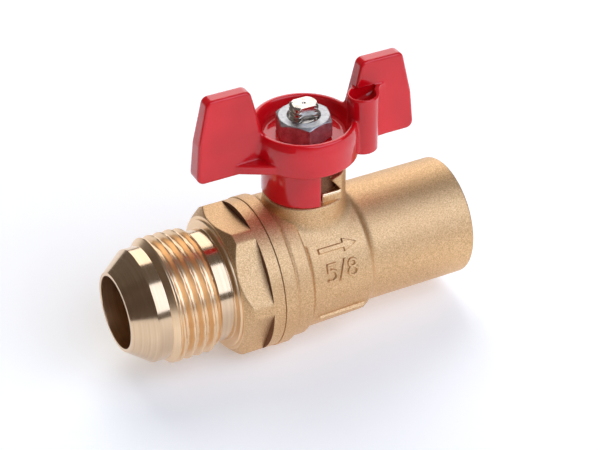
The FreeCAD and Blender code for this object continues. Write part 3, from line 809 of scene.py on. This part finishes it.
def neckZone(middles, look=neckLook):
    # the gland under the handle is painted darker as shade, and the stop's low block is bare milled brass,
    # lightened as a painted highlight
    x, height = middles[:, 0], middles[:, 2]
    radius = np.hypot(x, middles[:, 1])
    gland = (radius < look["gland"] + 0.1) & (height > look["neckTop"] + 0.1)
    end = (x < look["stopFace"] + 0.12) & (height > look["neckTop"] + 0.4)
    step = (abs(height - look["lowTop"]) < 0.4) & (x < look["lowEnd"])
    milledWithHighlight = (middles[:, 1] < 0) & (radius > look["gland"] + 0.2) & (x > 0) & (end | step)
    return np.where(gland, 1, np.where(milledWithHighlight, 2, 0))


points, faces = fieldSkin(neckField, neckLook["low"], neckLook["high"], neckLook["step"])
addPiece("valve_neck", points, faces, "valve_body", (brass, paintedShade, milledWithHighlight), ("body",), sharp=60,
         zone=neckZone)
print("body made")

# stem: tongue, shoulder, ring grooves and the flats that drive the handle
stemLook = {
    "tongue": 2.0, "tongueFloor": 7.2, "shoulder": 5.0, "shoulderFloor": 9.9, "shoulderTop": 11.5,
    "shaft": 4.0, "grooves": (14.1, 17.4), "grooveWidth": 1.7, "groove": 2.75, "driveFloor": 22.0,
    "drive": 3.4, "driveFlats": 2.4, "driveTop": 24.9, "thread": 2.5, "threadFlats": 1.7, "core": 1.45,
    "top": 31.3, "tongueGap": 0.4, "centreMark": ((0.02, 0.34, 0.05), (0.22, 0.16, 0.05), (0.24, 0.0, 0.0)),
}
look = stemLook
tongue = seatFront - look["tongueGap"]
outline = [(look["tongueFloor"], 0.0, 0.0), (look["tongueFloor"], tongue, 0.0),
           (look["shoulderFloor"], tongue, 0.0), (look["shoulderFloor"], look["shoulder"], 0.1),
           (look["shoulderTop"], look["shoulder"], 0.1), (look["shoulderTop"], look["shaft"], 0.0)]
for height in look["grooves"]:
    low, high = height - look["grooveWidth"] / 2, height + look["grooveWidth"] / 2
    outline += [(low, look["shaft"], 0.1), (low, look["groove"], 0.1), (high, look["groove"], 0.1),
                (high, look["shaft"], 0.1)]
outline += [(look["driveFloor"], look["shaft"], 0.1), (look["driveFloor"], look["drive"], 0.0),
            (look["driveTop"], look["drive"], 0.1), (look["driveTop"], look["core"], 0.0),
            (look["top"], look["core"], 0.0)]
outline += [(look["top"] - depth, radius, bend) for depth, radius, bend in look["centreMark"]]
outline = [(z, max(r, onAxis)) for z, r in soften(outline, 3)]


def stemShape(along, radius, angles, look=stemLook):
    tongue = np.minimum(radius, look["tongue"] / np.maximum(abs(np.cos(angles)), 1e-3))
    drive = np.minimum(radius, look["driveFlats"] / np.maximum(abs(np.sin(angles)), 1e-3))
    radius = np.where(along < look["shoulderFloor"] - 1e-6, tongue, radius)
    return np.where(along > look["driveFloor"] + 1e-6, drive, radius)


points, faces = ringSkin(outline, turnsOf(128), stemShape, "z")
addPiece("valve_stem", points, faces, "handle_assembly", (nickel,), ("stem",))
addThread("stem_thread", {
    "Start": look["driveTop"], "Length": look["top"] - look["driveTop"],
    "Crest Radius": look["thread"] - 0.02, "Root Radius": look["thread"] - 0.46, "Core Radius": look["core"],
    "Pitch": 0.8, "Turn": 0.2, "Lead Radius": look["thread"], "Tail Radius": look["thread"] - 0.3,
    "Half Flats": look["threadFlats"], "Flats Start": 3.7, "Full Start": -1.0, "Fade Length": 0.1,
    "Rows": 130, "Sides": 144,
    "Axis": (0.0, 0.0, 1.0), "Across": (1.0, 0.0, 0.0), "Up": (0.0, 1.0, 0.0),
}, "handle_assembly", nickel, "stem")

# nut
nutLook = {
    "floor": 25.4, "height": 3.6, "flats": 8.8, "corner": radians(13.8), "bore": 2.53, "mouth": 2.9,
    "bevel": 0.78, "hexFrom": 3.5, "soft": 0.1, "step": 0.1,
}
look = nutLook
tip = look["flats"] / 2 / cos(pi / 6)
top = look["floor"] + look["height"]
rise = look["bevel"] * tan(pi / 6)
sink = look["mouth"] - look["bore"]
outline = soften([
    (look["floor"] + sink, look["bore"], 0.05), (look["floor"], look["mouth"], 0.05),
    (look["floor"], tip - look["bevel"], 0.1), (look["floor"] + rise, tip, 0.1), (top - rise, tip, 0.1),
    (top, tip - look["bevel"], 0.12), (top, look["mouth"], 0.1), (top - sink, look["bore"], 0.05),
])
outline = divide(outline, look["floor"], top, look["step"])


def nutShape(along, radius, angles, look=nutLook):
    flat = softMin(radius, hexagon(angles, look["flats"], look["corner"]), look["soft"])
    return np.where(radius > look["hexFrom"], flat, radius)


points, faces = ringSkin(outline, turnsOf(192, look["corner"]), nutShape, "z")
addPiece("handle_hex_nut", points, faces, "handle_assembly", (zinc,), ("handle_nut",))
print("stem and nut made")

# handle: dish, two wings, webs, eye and the skirt with the stop opening
handleLook = {
    "dish": [(22.0, 3.2, 0.0), (22.0, 9.3, 0.25), (26.5, 9.3, 0.9), (28.15, 8.85, 0.35), (28.15, 8.05, 0.35),
             (26.3, 7.5, 1.0), (25.4, 6.9, 0.9), (25.4, 3.2, 0.0)],
    "wing": [(8.2, 21.7), (8.2, 27.8), (10.4, 36.85), (18.2, 36.85), (20.0, 28.8), (20.65, 21.7)],
    "wingCorner": 1.3, "foot": 1.7, "head": 1.3, "wingFoot": 21.7, "wingTop": 36.85, "wingEdge": 0.5,
    "web": [(4.0, 0.6), (14.6, 1.2), (7.6, 5.2), (4.0, 5.2)], "webTop": 23.8,
    "webs": ((-1, -1), (-1, 1), (1, 1)), "eyeAcross": 9.55, "eyeReach": -3.1, "eye": 2.7, "eyeBore": 1.4,
    "eyeMouth": 2.2, "mouthFloor": 29.3, "eyeFloor": 21.6, "eyeTop": 32.1, "flare": 1.4, "mouthFlare": 2.6,
    "mouthEnd": [(8.6, 1.0), (13.1, 1.25), (11.6, 3.0), (9.5, 3.3)], "mouthRise": 0.45,
    "skirtOuter": 7.35, "skirtInner": 6.1, "skirtFloor": 14.85, "skirtTop": 22.6, "skirtHalf": radians(86),
    "skirtLean": radians(8), "fillet": 0.9, "drive": 3.48, "driveFlats": 2.48, "webFloor": 22.0,
    "webBend": 0.25, "mouthBend": 0.3, "eyeRoot": 11.0, "eyeMost": 5.2, "airRadius": 7.2, "airFloor": 25.6,
    "airWithin": 8.0, "low": (-21.2, -9.8, 14.3), "high": (21.2, 9.8, 37.4), "step": 0.2,
}
dishOutline = [(r, z) for z, r in soften(handleLook["dish"], 3)]
wingHull = inset(handleLook["wing"], handleLook["wingCorner"])
webHull = inset(handleLook["web"], handleLook["webBend"])
mouthHull = inset(handleLook["mouthEnd"], handleLook["mouthBend"])


def handleField(x, y, z, look=handleLook):
    r = np.hypot(x, y)
    dish = outlineField(r, z, dishOutline)
    wing = outlineField(abs(x), z, wingHull) - look["wingCorner"]
    share = np.clip((z - look["wingFoot"]) / (look["wingTop"] - look["wingFoot"]), 0, 1)
    wing = rounded(wing, abs(y) - (look["foot"] + (look["head"] - look["foot"]) * share), look["wingEdge"])
    solid = softMin(dish, wing, look["fillet"])
    for across, reach in look["webs"]:
        web = outlineField(x * across, y * reach, webHull) - look["webBend"]
        web = rounded(web, slab(z, look["webFloor"], look["webTop"]), 0.35)
        solid = softMin(solid, web, 0.25)
    # the eye flares into the wing beside it, most of all at its top, which stays level
    eyeRadius = np.hypot(x - look["eyeAcross"], y - look["eyeReach"])
    flare = look["flare"] + look["mouthFlare"] * np.clip((z - look["mouthFloor"] + 0.6) / 3.2, 0, 1) ** 2
    eye = softMin(eyeRadius - look["eye"], np.maximum(abs(y) - look["head"], look["eyeRoot"] - x), flare)
    eye = np.maximum(eye, eyeRadius - look["eyeMost"])
    eye = rounded(eye, slab(z, look["eyeFloor"], look["eyeTop"]), 0.22)
    solid = softMin(solid, eye, 0.4)
    # the fillets stay out of the hollow over the dish's floor
    air = np.maximum(r - look["airRadius"], look["airFloor"] - z)
    solid = np.maximum(solid, -np.where(r < look["airWithin"], air, 1e9))
    solid = softMax(solid, look["eyeBore"] - eyeRadius, 0.15)
    mouth = softMin(eyeRadius - look["eyeMouth"], outlineField(x, -y, mouthHull) - look["mouthBend"], 0.5)
    mouthFloor = look["mouthFloor"] + look["mouthRise"] * np.clip(x - look["eyeAcross"], 0, 4)
    mouth = rounded(mouth, mouthFloor - z, 0.9)
    solid = softMax(solid, -np.maximum(mouth, z - look["eyeTop"] - 0.1), 0.12)
    turn = np.arctan2(y, x)
    away = r * np.sin(np.clip(abs(turn) - look["skirtHalf"] - look["skirtLean"], -pi / 2, pi / 2))
    skirt = np.maximum(r - look["skirtOuter"], look["skirtInner"] - r)
    skirt = rounded(skirt, slab(z, look["skirtFloor"], look["skirtTop"]), 0.2)
    skirt = softMax(skirt, -away, 0.2)
    solid = softMin(solid, skirt, 0.15)
    hole = np.maximum(r - look["drive"], abs(y) - look["driveFlats"])
    return np.maximum(solid, -hole)


points, faces = fieldSkin(handleField, handleLook["low"], handleLook["high"], handleLook["step"])
addPiece("handle_wings", points, faces, "handle_assembly", (red,), ("handle",), sharp=70)
print("handle made")

# floor, lights and camera
roomLook = {
    "floor": cadBounds[0][2], "floorHalf": 6.0, "fibre": (60, 4, 0.6),
    "paper": (rgb(238, 240, 243), rgb(243, 244, 246)), "paperGlow": rgb(249, 248, 247),
    "flagX": stemX - 0.2, "flagLow": (-0.22, 0.001), "flagHigh": (0.2, 0.16), "fold": (9, 3, 0.5),
    "cloth": (rgb(34, 28, 24), rgb(52, 42, 36)), "clothGlow": (rgb(40, 34, 30), rgb(104, 92, 84)),
    "world": (1.0, 0.9, 0.84, 1.0), "worldStrength": 0.15,
    "camera": (-0.15370, -0.23817, 0.19062), "lens": 112.2, "sensor": 36.0, "clip": (0.01, 50),
    "right": (0.886455, -0.462814, 0.000213), "down": (-0.261176, -0.500626, -0.825325),
    "forward": (0.382079, 0.731558, -0.564658), "target": (stemX, 0, 0.01),
}
look = roomLook


def addSheet(name, corners, material):
    mesh = bpy.data.meshes.new(name)
    mesh.from_pydata(corners, [], [(0, 1, 2, 3)])
    mesh.materials.append(material)
    sheet = bpy.data.objects.new(name, mesh)
    bpy.context.scene.collection.objects.link(sheet)
    return sheet


f = Finish("pale paper")
fibre = f.noise(*look["fibre"])
paper = f.finish(Base_Color=f.blend(fibre, *look["paper"]), Roughness=0.85, Specular_IOR_Level=0.2,
                 Normal=f.bump(fibre, {"depth": 0.00005, "strength": 0.2}),
                 Emission_Color=look["paperGlow"], Emission_Strength=0.27)
half = look["floorHalf"]
corners = (-half, -half), (half, -half), (half, half), (-half, half)
addSheet("floor", [(x, y, look["floor"]) for x, y in corners], paper)

# a dark flag to the left, which only shows in what the brass reflects
f = Finish("dark cloth")
fold = f.noise(*look["fold"])
cloth = f.finish(Base_Color=f.blend(fold, *look["cloth"]), Roughness=0.9,
                 Emission_Color=f.blend(fold, *look["clothGlow"]), Emission_Strength=0.8)
(near, low), (far, high) = look["flagLow"], look["flagHigh"]
low += look["floor"]
corners = (near, low), (far, low), (far, high), (near, high)
flag = addSheet("dark_flag", [(look["flagX"], y, z) for y, z in corners], cloth)
flag.visible_camera = flag.visible_diffuse = flag.visible_shadow = False

# azimuth, elevation, distance, width, height, radiance, colour, and whether it shows in reflections
lightLook = {
    "front box": (-66, 39, 0.75, 0.9, 0.76, 1.56, (0.92, 1.08, 1.38), True),
    "back box": (60, 32, 0.8, 0.5, 0.8, 1.75, (1.0, 1.0, 1.02), True),
    "key": (82, 55, 0.9, 0.6, 0.6, 2.8, (1.0, 0.98, 0.95), False),
    "fill": (-52, 38, 1.3, 0.9, 0.9, 0.95, (1.0, 1.0, 1.0), False),
}


def addLight(name, azimuth, elevation, distance, width, height, radiance, colour, glossy, look=roomLook):
    # a soft box that faces the object; its radiance is given, and so its power follows
    lamp = bpy.data.lights.new(name, "AREA")
    lamp.shape = "RECTANGLE"
    lamp.size, lamp.size_y = width, height
    lamp.energy = radiance * pi * width * height
    lamp.color = colour
    light = bpy.data.objects.new(name, lamp)
    bpy.context.scene.collection.objects.link(light)
    a, e = radians(azimuth), radians(elevation)
    target = Vector(look["target"])
    place = Vector((cos(e) * cos(a), cos(e) * sin(a), sin(e))) * distance + target
    light.location = place
    light.rotation_euler = (target - place).to_track_quat("-Z", "Y").to_euler()
    light.visible_camera = False
    light.visible_glossy = glossy


for name, settings in lightLook.items():
    addLight(name, *settings)
world = bpy.data.worlds.new("studio")
bpy.context.scene.world = world
world.use_nodes = True
background = world.node_tree.nodes["Background"]
background.inputs[0].default_value, background.inputs[1].default_value = look["world"], look["worldStrength"]
bpy.context.scene.view_settings.view_transform = "Standard"

camera = bpy.data.objects.new("camera", bpy.data.cameras.new("camera"))
bpy.context.scene.collection.objects.link(camera)
right, down, forward = (Vector(look[way]) for way in ("right", "down", "forward"))
turn = Matrix((right, -down, -forward)).transposed().to_4x4()
camera.matrix_world = Matrix.Translation(look["camera"]) @ turn
camera.data.lens, camera.data.sensor_width = look["lens"], look["sensor"]
camera.data.clip_start, camera.data.clip_end = look["clip"]
bpy.context.scene.camera = camera
print("room made")
